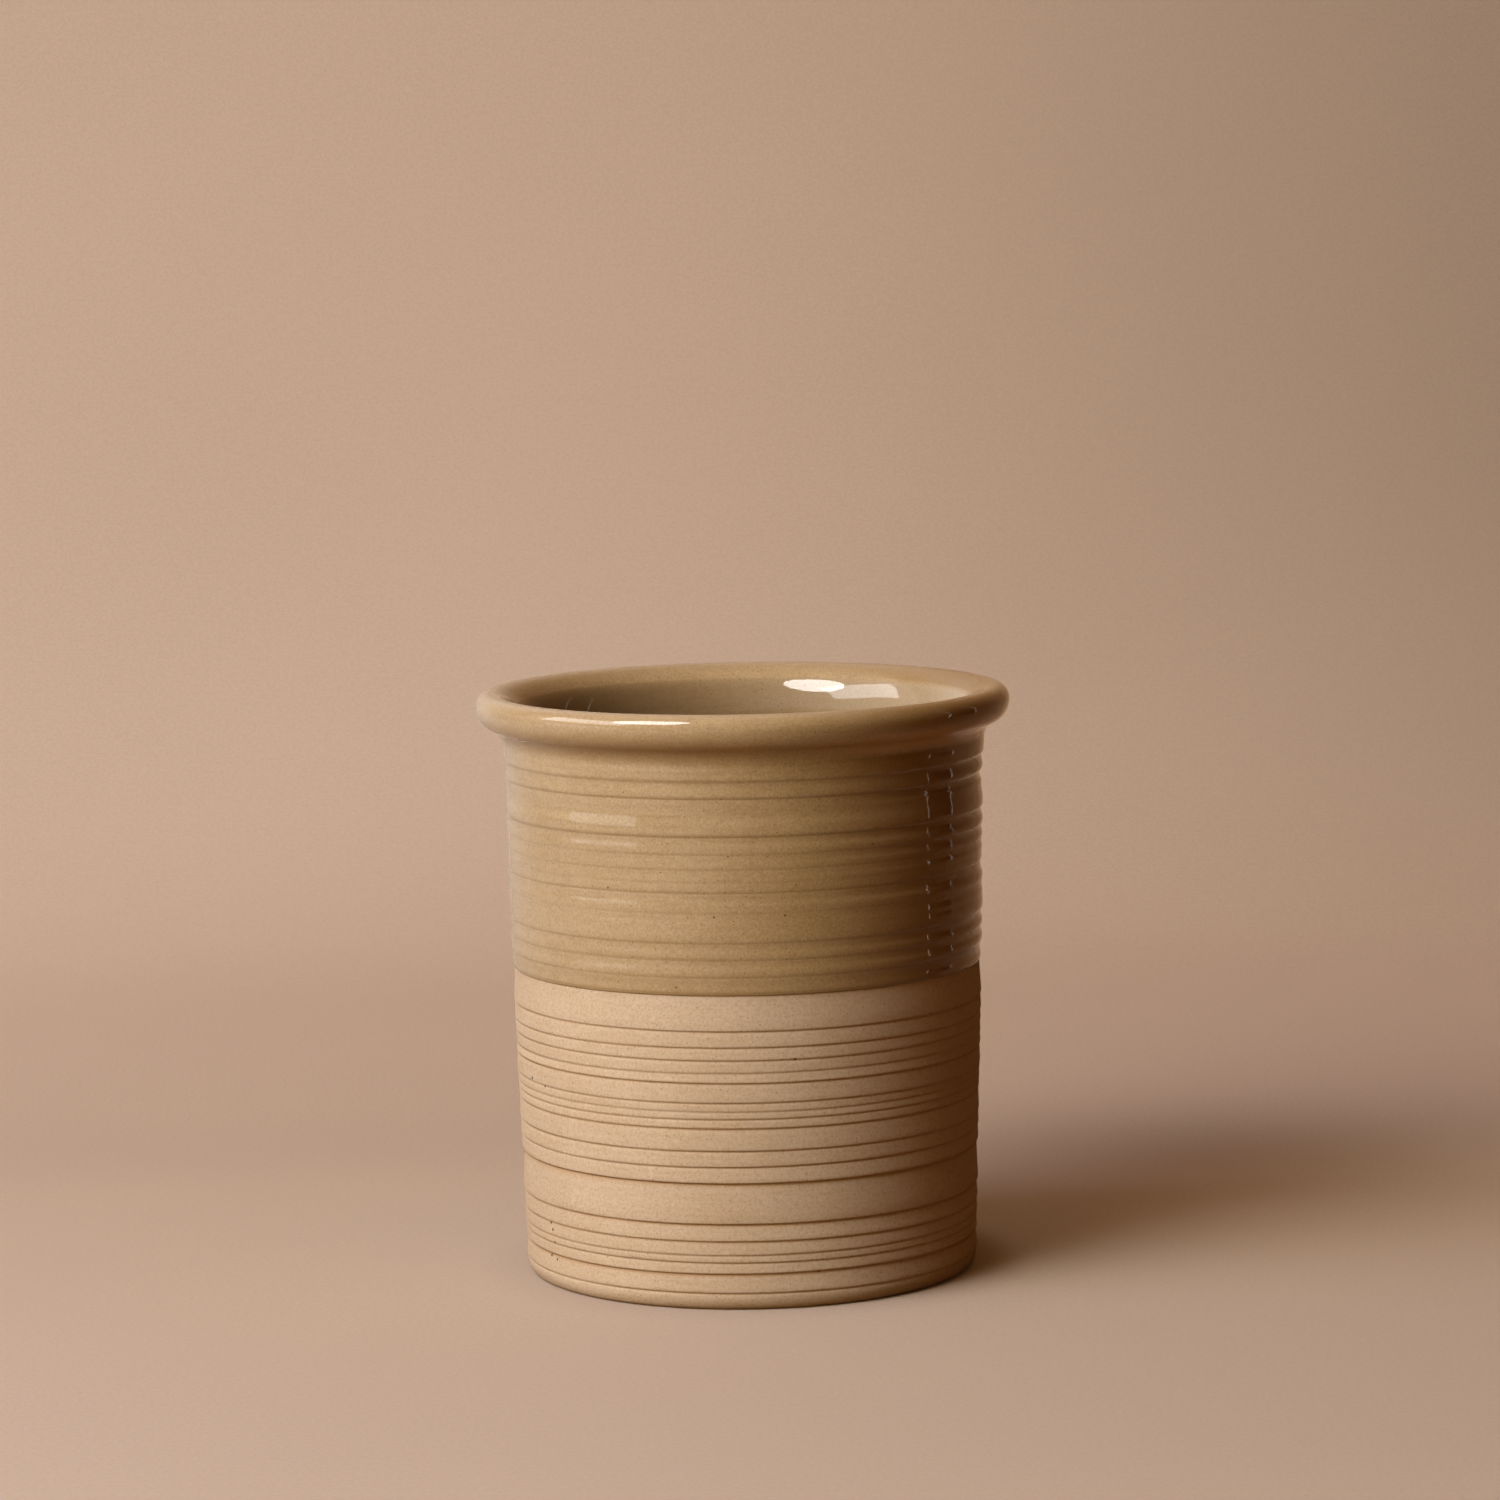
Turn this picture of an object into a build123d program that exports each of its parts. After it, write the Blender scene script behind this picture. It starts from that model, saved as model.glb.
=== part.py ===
from build123d import *
import os
from math import cos, radians, sin

# A wheel-thrown stoneware utensil crock with a rolled rim.
# Everything is turned about the Z axis. The origin is the middle of the ring that the crock stands on,
# +Z is up, and lengths are in millimetres. The crock is two pieces: the fired clay body, and the coat of
# glaze that covers the inside, the rim and the upper part of the outside. The coat lies on the clay all
# over, so both pieces are drawn from one description of the surface between them.

# The whole crock
height = 165.0  # from the table to the crest of the rim
foot_diameter = 128.3  # outside of the wall, carried straight down to the table
neck_diameter = 134.9  # outside of the glazed wall just below the rim
belly = 0.5  # how far the wall bows out of a straight taper at the glaze's lower edge
wall_thickness = 6.8  # wall and glaze together
floor_thickness = 7.0  # floor and glaze together
inner_corner_radius = 11.0  # between the floor and the wall, inside

# The glaze
glaze_thickness = 0.4
glaze_line_height = 87.3  # lower edge of the glaze on the outside

# The rolled rim
rim_overhang = 7.8  # how far the rim stands out past the neck
rim_nose_radius = 3.9  # from the crest round to the widest line
rim_under_radius = 6.5  # from the widest line round to the underside
rim_under_turn = 68.0  # how far the underside turns in, in degrees
flare_height = 15.0  # the part of the bore that opens out towards the crest

# The foot
foot_rounding = 2.6  # how far the foot is rounded in, from the last groove down to the table
foot_ring_width = 6.5
foot_recess = 1.5

# The throwing rings: grooves that run round the outside
ring_depth = 0.5  # a plain ring's groove, from the plain wall to its root
ring_flank = 0.8  # height over which the land above a groove turns in to the root
ring_relief = 0.5  # height over which the wall comes out of the root again
step_handle_share = 0.57  # how squarely a flank or a wave turns, as a share of its height

# Grooves in the bare clay, from the glaze line down. Each row gives the flank's height as a share of the
# glaze line's height, then how far in the land above it, its root and the land below it lie, as shares
# of the ring depth.
bare_ring_shares = (
    (0.889, 0.00, 0.72, 0.46),
    (0.838, 0.00, 0.66, 0.40),
    (0.797, 0.06, 0.68, 0.42),
    (0.758, 0.20, 0.56, 0.40),
    (0.725, 0.02, 0.78, 0.52),
    (0.663, 0.00, 0.68, 0.42),
    (0.635, 0.32, 0.66, 0.48),
    (0.611, 0.38, 0.92, 0.66),
    (0.581, 0.48, 1.18, 0.92),
    (0.510, 0.26, 1.00, 0.74),
    (0.459, 0.40, 1.16, 0.90),
    (0.406, 0.42, 1.82, 1.56),
    (0.277, 0.16, 1.36, 1.10),
    (0.222, 0.28, 1.14, 0.88),
    (0.178, 0.34, 0.88, 0.62),
    (0.154, 0.56, 1.18, 0.92),
    (0.118, 0.52, 1.60, 1.34),
    (0.057, 0.20, 0.96, 0.60),
)

# Lands and hollows under the glaze, from the neck down to the glaze line. Each row gives the height as a
# share of the way from the glaze line up to the neck, and how far in the surface lies, as a share of the
# ring depth. The glaze has run into these rings, so they are soft waves.
glazed_ring_shares = (
    (0.962, 0.22),
    (0.920, 1.64),
    (0.886, 0.88),
    (0.845, 2.54),
    (0.807, 1.52),
    (0.718, 0.68),
    (0.680, 1.88),
    (0.641, 0.76),
    (0.598, 1.56),
    (0.575, 1.06),
    (0.533, 1.48),
    (0.514, 1.16),
    (0.479, 1.36),
    (0.429, 1.92),
    (0.384, 0.88),
    (0.339, 1.22),
    (0.310, 0.84),
    (0.255, 0.52),
    (0.207, 1.66),
    (0.177, 0.96),
    (0.138, 1.80),
    (0.103, 0.92),
    (0.061, 1.94),
)
glaze_edge_share = 0.84  # how far in the glaze's lower edge lies, as a share of the ring depth

# Sizes that follow from those above
neck_radius = neck_diameter / 2
foot_radius = foot_diameter / 2
quarter_turn = 90.0  # in degrees
rim_radius = neck_radius + rim_overhang
crest_radius = rim_radius - rim_nose_radius
turn_in_share = 1 - cos(radians(rim_under_turn))
turn_down_share = sin(radians(rim_under_turn))
rim_hollow_radius = rim_overhang / turn_in_share - rim_under_radius
neck_height = height - rim_nose_radius - (rim_under_radius + rim_hollow_radius) * turn_down_share
flare_level = height - flare_height
floor_level = foot_recess + floor_thickness
glaze_edge_level = glaze_line_height + glaze_thickness
foot_ring_inner_radius = foot_radius - foot_rounding - foot_ring_width


def taper_radius(level):
    """Outside radius at a height above the table, if the wall were a straight taper."""
    return foot_radius + (neck_radius - foot_radius) * level / neck_height


def wall_radius(level, inset_share):
    """Outside radius of the bowed wall, this share of the ring depth inside its plain line."""
    if level < glaze_line_height:
        bow_share = level / glaze_line_height
    else:
        bow_share = (neck_height - level) / (neck_height - glaze_line_height)
    return taper_radius(level) + belly * bow_share - ring_depth * inset_share


def soft_step(upper, lower):
    """Draws a smooth turn from one point down to another, upright at both ends."""
    handle = (upper[1] - lower[1]) * step_handle_share
    Bezier(upper, (upper[0], upper[1] - handle), (lower[0], lower[1] + handle), lower)


def glazed_surface(depth):
    """Draws the surface this depth below the finished glaze, from the middle of the floor to the glaze line."""
    floor = floor_level - depth
    bore_foot = (taper_radius(floor) - wall_thickness + depth, floor)
    bore_top = (taper_radius(flare_level) - wall_thickness + depth, flare_level)
    FilletPolyline((0, floor), bore_foot, bore_top, radius=inner_corner_radius + depth)
    EllipticalCenterArc(
        center=(crest_radius, flare_level),
        x_radius=crest_radius - bore_top[0],
        y_radius=flare_height - depth,
        start_angle=quarter_turn,
        arc_size=quarter_turn,
    )
    crest = (crest_radius, height - depth)
    nose = JernArc(
        start=crest,
        tangent=(1, 0),
        radius=rim_nose_radius - depth,
        arc_size=-quarter_turn,
    )
    under = JernArc(
        start=nose @ 1,
        tangent=nose % 1,
        radius=rim_under_radius - depth,
        arc_size=-rim_under_turn,
    )
    JernArc(
        start=under @ 1,
        tangent=under % 1,
        radius=rim_hollow_radius + depth,
        arc_size=rim_under_turn,
    )
    upper = (neck_radius - depth, neck_height)
    for up_share, inset_share in glazed_ring_shares:
        level = glaze_line_height + (neck_height - glaze_line_height) * up_share
        lower = (wall_radius(level, inset_share) - depth, level)
        soft_step(upper, lower)
        upper = lower
    edge = (wall_radius(glaze_edge_level, glaze_edge_share) - depth, glaze_edge_level)
    soft_step(upper, edge)
    return edge


def bare_wall(top):
    """Draws the bare clay's lands and grooves from this point down, and returns the last point."""
    land_start = top
    for height_share, lip_share, root_share, land_share in bare_ring_shares:
        level = glaze_line_height * height_share
        lip_level = level + ring_flank / 2
        root_level = level - ring_flank / 2
        land_level = root_level - ring_relief
        lip = (wall_radius(lip_level, lip_share), lip_level)
        root = (wall_radius(root_level, root_share), root_level)
        Line(land_start, lip)
        soft_step(lip, root)
        land_start = (wall_radius(land_level, land_share), land_level)
        Line(root, land_start)
    return land_start


with BuildPart() as clay_body:
    with BuildSketch(Plane.XZ):
        with BuildLine():
            under_edge = glazed_surface(glaze_thickness)
            glaze_line = (under_edge[0], glaze_line_height)
            Line(under_edge, glaze_line)
            wall_end = bare_wall(glaze_line)
            ring_outer = (wall_end[0] - foot_rounding, 0)
            ring_inner = (foot_ring_inner_radius, 0)
            recess_edge = (foot_ring_inner_radius - foot_recess, foot_recess)
            EllipticalCenterArc(
                center=(ring_outer[0], wall_end[1]),
                x_radius=foot_rounding,
                y_radius=wall_end[1],
                start_angle=0,
                arc_size=-quarter_turn,
            )
            Line(ring_outer, ring_inner)
            RadiusArc(ring_inner, recess_edge, -foot_recess)
            Polyline(recess_edge, (0, foot_recess), (0, floor_level - glaze_thickness))
        make_face()
    revolve(axis=Axis.Z)

with BuildPart() as glaze_coat:
    with BuildSketch(Plane.XZ):
        with BuildLine():
            top_edge = glazed_surface(0)
            under_edge = glazed_surface(glaze_thickness)
            glaze_line = (under_edge[0], glaze_line_height)
            RadiusArc(top_edge, glaze_line, glaze_thickness)
            Line(glaze_line, under_edge)
            Line((0, floor_level - glaze_thickness), (0, floor_level))
        make_face()
    revolve(axis=Axis.Z)

clay_body.part.label = "clay_body"
glaze_coat.part.label = "glaze_coat"

os.makedirs("parts", exist_ok=True)
export_step(clay_body.part, "parts/clay_body.step")
export_step(glaze_coat.part, "parts/glaze_coat.step")
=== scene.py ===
import math

import bpy
import numpy as np
from mathutils import Matrix, Vector


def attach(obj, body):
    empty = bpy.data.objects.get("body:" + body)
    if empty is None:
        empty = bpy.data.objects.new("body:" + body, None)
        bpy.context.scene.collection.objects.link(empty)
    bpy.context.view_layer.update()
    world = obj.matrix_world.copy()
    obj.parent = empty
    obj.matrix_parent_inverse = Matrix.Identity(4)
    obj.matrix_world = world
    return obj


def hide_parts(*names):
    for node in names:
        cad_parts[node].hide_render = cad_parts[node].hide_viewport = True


# The looks of a wheel-thrown stoneware utensil crock: a bare buff clay foot half, and a glossy olive-tan
# glaze over the inside, the rolled rim and the upper half of the outside.
# Sizes are in millimetres, as in the CAD source, and become metres where a mesh is made.
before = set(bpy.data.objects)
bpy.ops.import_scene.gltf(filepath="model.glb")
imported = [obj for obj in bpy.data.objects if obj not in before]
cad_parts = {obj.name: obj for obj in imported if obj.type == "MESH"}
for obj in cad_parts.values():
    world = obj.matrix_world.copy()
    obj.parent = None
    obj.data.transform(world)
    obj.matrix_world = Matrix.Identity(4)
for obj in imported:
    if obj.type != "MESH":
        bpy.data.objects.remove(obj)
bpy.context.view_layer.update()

MM = 0.001
COLUMNS = 256  # points round the crock

# The crock, as the CAD source has it
HEIGHT = 165.0
FOOT_RADIUS = 64.15
NECK_RADIUS = 67.45
BELLY = 0.5
WALL = 6.8
FLOOR_LEVEL = 8.5
CORNER_RADIUS = 11.0
COAT = 0.4
GLAZE_LINE = 87.3
RIM_OVERHANG = 7.8
NOSE_RADIUS = 3.9
UNDER_RADIUS = 6.5
UNDER_TURN = math.radians(68.0)
FLARE_HEIGHT = 15.0
FOOT_ROUNDING = 2.6
FOOT_RING_WIDTH = 6.5
FOOT_RECESS = 1.5
RING_DEPTH = 0.5
FLANK = 0.8
RELIEF = 0.5
HANDLE = 0.57
BARE_RINGS = (
    (0.889, 0.00, 0.72, 0.46),
    (0.838, 0.00, 0.66, 0.40),
    (0.797, 0.06, 0.68, 0.42),
    (0.758, 0.20, 0.56, 0.40),
    (0.725, 0.02, 0.78, 0.52),
    (0.663, 0.00, 0.68, 0.42),
    (0.635, 0.32, 0.66, 0.48),
    (0.611, 0.38, 0.92, 0.66),
    (0.581, 0.48, 1.18, 0.92),
    (0.510, 0.26, 1.00, 0.74),
    (0.459, 0.40, 1.16, 0.90),
    (0.406, 0.42, 1.82, 1.56),
    (0.277, 0.16, 1.36, 1.10),
    (0.222, 0.28, 1.14, 0.88),
    (0.178, 0.34, 0.88, 0.62),
    (0.154, 0.56, 1.18, 0.92),
    (0.118, 0.52, 1.60, 1.34),
    (0.057, 0.20, 0.96, 0.60),
)
GLAZED_RINGS = (
    (0.962, 0.22),
    (0.920, 1.64),
    (0.886, 0.88),
    (0.845, 2.54),
    (0.807, 1.52),
    (0.718, 0.68),
    (0.680, 1.88),
    (0.641, 0.76),
    (0.598, 1.56),
    (0.575, 1.06),
    (0.533, 1.48),
    (0.514, 1.16),
    (0.479, 1.36),
    (0.429, 1.92),
    (0.384, 0.88),
    (0.339, 1.22),
    (0.310, 0.84),
    (0.255, 0.52),
    (0.207, 1.66),
    (0.177, 0.96),
    (0.138, 1.80),
    (0.103, 0.92),
    (0.061, 1.94),
)
GLAZE_EDGE = 0.84

RIM_RADIUS = NECK_RADIUS + RIM_OVERHANG
CREST_RADIUS = RIM_RADIUS - NOSE_RADIUS
HOLLOW_RADIUS = RIM_OVERHANG / (1 - math.cos(UNDER_TURN)) - UNDER_RADIUS
NECK_LEVEL = HEIGHT - NOSE_RADIUS - (UNDER_RADIUS + HOLLOW_RADIUS) * math.sin(UNDER_TURN)
FLARE_LEVEL = HEIGHT - FLARE_HEIGHT

# Azimuths run from the camera's side (-Y) towards +X
FULL_TURN = 2 * math.pi
QUARTER_TURN = math.pi / 2
azimuths = np.arange(COLUMNS) * FULL_TURN / COLUMNS
azimuth_degrees = np.degrees(azimuths)
STILL = (np.ones(COLUMNS), np.zeros(COLUMNS))  # a ring that is the same all the way round

# The glazed wall is fuller than the solid by this, from just above the glaze line to just below the rim
SWELL = 0.58
SWELL_RISE = (GLAZE_LINE - 1, GLAZE_LINE + 5)
SWELL_FALL = (148, 160)


def smooth(low, high, value):
    """0 up to low, 1 from high on, and a smooth rise between them."""
    t = np.clip((value - low) / (high - low), 0.0, 1.0)
    return t * t * (3 - 2 * t)


def band(rise, fall, value):
    """1 between the rise and the fall, and 0 outside them."""
    return smooth(*rise, value) * (1 - smooth(*fall, value))


def taper(level):
    """Outside radius at a height, if the wall were a straight taper."""
    return FOOT_RADIUS + (NECK_RADIUS - FOOT_RADIUS) * level / NECK_LEVEL


def plain_wall(level):
    """Outside radius of the bowed wall with no rings in it."""
    if level < GLAZE_LINE:
        bow = level / GLAZE_LINE
    else:
        bow = max(0.0, (NECK_LEVEL - level) / (NECK_LEVEL - GLAZE_LINE))
    return taper(level) + BELLY * bow


def swell(level):
    """How far the glazed wall stands out past its plain line."""
    return SWELL * band(SWELL_RISE, SWELL_FALL, level)


# Thin nicks that the potter's rib left in the glazed wall: height and depth
GLAZED_NICKS = (
    (145.8, 0.05),
    (141.1, 0.08),
    (130.8, 0.09),
    (125.9, 0.05),
    (121.8, 0.05),
    (118.2, 0.03),
    (115.5, 0.07),
    (109.8, 0.03),
    (101.7, 0.06),
    (97.1, 0.06),
    (92.4, 0.06),
)
NICK_REACH = 0.34


def nick_shape(levels, nick_level):
    """1 at the nick's height, and less away from it."""
    return np.exp(-(((levels - nick_level) / NICK_REACH) ** 2))


class Wall:
    """The outside wall as rings that a hand has thrown: each keeps its photographed strength at the front,
    and grows stronger or weaker, and wanders a little up and down, on its way round."""

    SWING_SPREAD = (0.5, 1.0)  # how much of the swing a ring gets
    SECOND_SWING = 0.4  # a second swing, twice round, as a share of the first
    SECOND_WANDER = 0.5  # a second wander, three times round, as a share of the first
    STRENGTHS = (0.15, 1.8)  # the least and the most

    def __init__(self, seed, swing, wander):
        self.random = np.random.default_rng(seed)
        self.swing = swing
        self.wander = wander
        self.levels = []
        self.insets = []
        self.shifts = []
        self.rows = []
        self.nicks = ()

    def ring(self, swing=None):
        """The strength and the height shift of one ring round the crock."""
        swing = self.swing if swing is None else swing
        phase, second, third = self.random.uniform(0, FULL_TURN, 3)
        size = swing * self.random.uniform(*self.SWING_SPREAD)
        strength = 1 + size * (np.cos(azimuths - phase) - math.cos(phase))
        strength += self.SECOND_SWING * size * (np.cos(2 * azimuths - second) - math.cos(second))
        shift = self.wander * (np.cos(azimuths - third) - math.cos(third))
        shift += self.SECOND_WANDER * self.wander * (np.cos(3 * azimuths - second) - math.cos(second))
        return np.clip(strength, *self.STRENGTHS), shift

    def point(self, level, share, ring, steps, soft):
        """Adds a control point, and the rows that lead down to it from the one before."""
        strength, shift = ring
        self.levels.append(level)
        self.insets.append(RING_DEPTH * share * strength)
        self.shifts.append(shift)
        last = len(self.levels) - 1
        for i in range(1, steps + 1):
            t = i / steps
            if soft:
                down = 3 * t * (1 - t) ** 2 * HANDLE + 3 * t * t * (1 - t) * (1 - HANDLE) + t**3
                across = 3 * t * t * (1 - t) + t**3
            else:
                down = across = t
            before = self.levels[last - 1]
            self.rows.append((before + (level - before) * down, last, across))

    def surface(self, depth, levels=None):
        """Radius, height and inset of every row, this depth below the finished surface. The rows stand
        where they were made, or at the levels given."""
        made = np.array([row[0] for row in self.rows])
        last = np.array([row[1] for row in self.rows])
        across = np.array([row[2] for row in self.rows])[:, None]
        insets, shifts = np.array(self.insets), np.array(self.shifts)
        inset = insets[last - 1] * (1 - across) + insets[last] * across
        shift = shifts[last - 1] * (1 - across) + shifts[last] * across
        if levels is not None:
            order = np.interp(-levels, -made, np.arange(len(made)))
            low = np.floor(order).astype(int)
            high = np.minimum(low + 1, len(made) - 1)
            part = (order - low)[:, None]
            inset = inset[low] * (1 - part) + inset[high] * part
            shift = shift[low] * (1 - part) + shift[high] * part
            made = levels
        for nick_level, nick_depth in self.nicks:
            inset = inset + nick_depth * nick_shape(made, nick_level)[:, None]
        radius = np.array([[plain_wall(level) + swell(level)] for level in made]) - inset - depth
        return radius, made[:, None] + shift, inset


# How the waves under the glaze weaken on the lit side: where they come to rest, as a share of the ring
# depth, and how much of each is left
UPPER_RESTS = (0.15, 0.70)
REST = 0.90
WAVE_LEFT = 0.30
SHARP_WAVE_LEFT = 0.95
SHARP_RINGS = (4, 5)
WAVES_GROW = (0, 80)  # from and to these azimuths, in degrees
WAVES_WEAKEN = (130, 180)


def glazed_wall(steps):
    """The rings are soft on the lit side, where the glaze has filled them, and fuller on the far side."""
    wall = Wall(seed=5, swing=0.10, wander=0.12)
    turned = np.where(azimuth_degrees > 180, azimuth_degrees - 360, azimuth_degrees)
    fuller = band(WAVES_GROW, WAVES_WEAKEN, turned)
    wall.point(NECK_LEVEL, 0.0, STILL, 0, True)
    for number, (share, inset) in enumerate(GLAZED_RINGS):
        level = GLAZE_LINE + (NECK_LEVEL - GLAZE_LINE) * share
        strength, shift = wall.ring()
        rest = UPPER_RESTS[number] if number < len(UPPER_RESTS) else REST
        left = SHARP_WAVE_LEFT if number in SHARP_RINGS else WAVE_LEFT
        strength = strength * (left + (1 - left) * fuller)
        strength = rest / inset + strength * (1 - rest / inset)
        wall.point(level, inset, (strength, shift), steps, True)
    wall.point(GLAZE_LINE + COAT, GLAZE_EDGE, STILL, steps, True)
    wall.nicks = GLAZED_NICKS
    return wall


# Rows on a land, a flank and a relief in the bare clay, and the ring that changes most on its way round
LAND_ROWS, FLANK_ROWS, RELIEF_ROWS = 4, 6, 2
UNEVEN_RING = 3
UNEVEN_SWING = 0.55


def bare_wall():
    """The bare clay's rings, each a crisp flank over a short relief."""
    wall = Wall(seed=11, swing=0.16, wander=0.10)
    wall.point(GLAZE_LINE, GLAZE_EDGE + COAT / RING_DEPTH, STILL, 0, False)
    for number, (share, lip, root, land) in enumerate(BARE_RINGS):
        level = GLAZE_LINE * share
        ring = wall.ring(swing=UNEVEN_SWING if number == UNEVEN_RING else None)
        wall.point(level + FLANK / 2, lip, ring, LAND_ROWS, False)
        wall.point(level - FLANK / 2, root, ring, FLANK_ROWS, True)
        wall.point(level - FLANK / 2 - RELIEF, land, ring, RELIEF_ROWS, False)
    return wall


def even(rows):
    """Rows of a profile, the same all the way round."""
    points = np.array(rows, float)
    return np.repeat(points[:, :1], COLUMNS, 1), np.repeat(points[:, 1:], COLUMNS, 1)


def arc(centre, radius, start, end, steps, flat=1.0):
    """Points on an arc, the first one left out. Angles are in radians, and flat squeezes the height."""
    made = []
    for i in range(1, steps + 1):
        a = start + (end - start) * i / steps
        made.append((centre[0] + radius * math.cos(a), centre[1] + radius * flat * math.sin(a)))
    return made


def line(start, end, steps):
    """Points on a straight line, the first one left out."""
    return [
        (start[0] + (end[0] - start[0]) * i / steps, start[1] + (end[1] - start[1]) * i / steps)
        for i in range(1, steps + 1)
    ]


# Rows of each part of the inside's profile: plain, and fine
FLOOR_ROWS = (6, 24)
CORNER_ROWS = (4, 10)
BORE_ROWS = (6, 50)
FLARE_ROWS = (8, 24)
NOSE_ROWS = (4, 12)
FINE = 1
FLOOR_END = 1 + FLOOR_ROWS[FINE]
BORE_TOP = FLOOR_END + CORNER_ROWS[FINE] + BORE_ROWS[FINE]
SPIRAL_END = BORE_TOP - 4  # the spiral stops just below the flare
BORE_MARKS_END = BORE_TOP + FLARE_ROWS[FINE] // 2  # and the bore's painted light and shade half way up it
RIM_START = BORE_TOP + FLARE_ROWS[FINE] - 4  # the rim's colour begins just before the crest


def inside_and_rim(depth, fine):
    """The profile this depth below the glaze, from the middle of the floor over the rim to the neck."""
    floor = FLOOR_LEVEL - depth
    corner = CORNER_RADIUS + depth
    foot = taper(floor) - WALL + depth
    top = (taper(FLARE_LEVEL) - WALL + depth, FLARE_LEVEL)
    flare = top[0] - CREST_RADIUS
    flat = (FLARE_HEIGHT - depth) / flare
    nose = (CREST_RADIUS, HEIGHT - NOSE_RADIUS)
    under = (RIM_RADIUS - UNDER_RADIUS, HEIGHT - NOSE_RADIUS)
    hollow = (NECK_RADIUS + HOLLOW_RADIUS, NECK_LEVEL)
    rows = [(0.0, floor)] + line((0, floor), (foot - corner, floor), FLOOR_ROWS[fine])
    rows += arc((foot - corner, floor + corner), corner, -QUARTER_TURN, 0, CORNER_ROWS[fine])
    rows += line(rows[-1], top, BORE_ROWS[fine])
    rows += arc((CREST_RADIUS, FLARE_LEVEL), flare, 0, QUARTER_TURN, FLARE_ROWS[fine], flat)
    rows += arc(nose, NOSE_RADIUS - depth, QUARTER_TURN, 0, NOSE_ROWS[fine])
    outside = arc(under, UNDER_RADIUS - depth, 0, -UNDER_TURN, NOSE_ROWS[fine])
    outside += arc(hollow, HOLLOW_RADIUS + depth, math.pi - UNDER_TURN, math.pi, NOSE_ROWS[fine])
    return rows + [(radius + swell(level), level) for radius, level in outside]


# The unevenness of the pot: how oval and how three-sided it is, each with the angle where it starts and
# the height over which it turns by a radian, and how the rim dips
OVAL, OVAL_START, OVAL_TWIST = 0.03, 0.6, 120
LOBES, LOBES_START, LOBES_TWIST = 0.02, -1.4, -70
FRONT_DIP = 0.22
SIDE_DIP, SIDE_DIP_START = 0.04, -2.2
EVEN_CORE = (20, 55)  # radii between which the unevenness sets in
DIP_RISE = (140, HEIGHT)  # heights between which the dip sets in


def by_hand(radius, level):
    """Draws every point in or down a little, as a hand-thrown pot has it. It is alike for both pieces."""
    oval = OVAL * (1 - np.cos(2 * azimuths + OVAL_START + level / OVAL_TWIST))
    lobes = LOBES * (1 - np.cos(3 * azimuths + LOBES_START + level / LOBES_TWIST))
    dip = FRONT_DIP * (1 + np.cos(azimuths)) + SIDE_DIP * (1 - np.cos(2 * azimuths + SIDE_DIP_START))
    return radius - (oval + lobes) * smooth(*EVEN_CORE, radius), level - dip * smooth(*DIP_RISE, level)


def revolve(name, radius, level, marks):
    """A closed turned mesh whose first and last rows lie on the axis. marks are values that are kept at
    each point."""
    radius, level = by_hand(radius, level)
    rows = len(radius)
    x = radius * np.sin(azimuths) * MM
    y = -radius * np.cos(azimuths) * MM
    body = np.stack([x, y, level * MM], -1)[1:-1].reshape(-1, 3)
    ends = np.array([[0, 0, level[0].mean() * MM], [0, 0, level[-1].mean() * MM]])
    first, last = len(body), len(body) + 1
    faces = []
    for row in range(rows - 3):
        a = row * COLUMNS
        for column in range(COLUMNS):
            after = (column + 1) % COLUMNS
            faces.append((a + column, a + after, a + COLUMNS + after, a + COLUMNS + column))
    a = (rows - 3) * COLUMNS
    for column in range(COLUMNS):
        after = (column + 1) % COLUMNS
        faces.append((first, after, column))
        faces.append((a + column, a + after, last))
    mesh = bpy.data.meshes.new(name)
    mesh.from_pydata(np.concatenate([body, ends]).tolist(), [], faces)
    mesh.polygons.foreach_set("use_smooth", np.ones(len(faces), bool))
    for mark, values in marks.items():
        flat = np.concatenate([values[1:-1].ravel(), [values[0].mean(), values[-1].mean()]])
        mesh.attributes.new(mark, "FLOAT", "POINT").data.foreach_set("value", flat.astype(np.float32))
    mesh.validate()
    mesh.update()
    piece = bpy.data.objects.new(name, mesh)
    bpy.context.scene.collection.objects.link(piece)
    return piece


# The throwing spirals: the way between two turns, the depth, and where each sets in and dies out
BORE_PITCH, BORE_SPIRAL, BORE_DRIFT = 7.5, 0.10, 0.05
BORE_RISE, BORE_FALL = (22, 40), (138, 150)
FLOOR_PITCH, FLOOR_SPIRAL = 6.5, 0.14
FLOOR_RISE, FLOOR_FALL = (3, 12), (38, 48)
FOOT_PITCH, FOOT_SPIRAL = 3.2, 0.05
FOOT_RISE, FOOT_FALL = (1, 6), (46, 52)
DRIFT_PACE = 0.43  # how fast the slow drift in the bore goes, set against the spiral


def spiral(along, pitch):
    """How far round its turn a spiral of this pitch is, at each point, in radians."""
    return (along - pitch * azimuths / FULL_TURN) / pitch * FULL_TURN


def throwing_marks(radius, level):
    """The inside with a faint spiral up the bore and another on the floor."""
    rows = np.arange(len(radius))[:, None]
    climb = spiral(level, BORE_PITCH)
    bore = band(BORE_RISE, BORE_FALL, level) * (rows < SPIRAL_END)
    radius = radius + BORE_SPIRAL * np.sin(climb) * bore
    radius = radius + BORE_DRIFT * np.sin(climb * DRIFT_PACE + 1) * bore
    flat = band(FLOOR_RISE, FLOOR_FALL, radius) * (rows < FLOOR_END)
    return radius, level + FLOOR_SPIRAL * np.sin(spiral(radius, FLOOR_PITCH)) * flat


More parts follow.
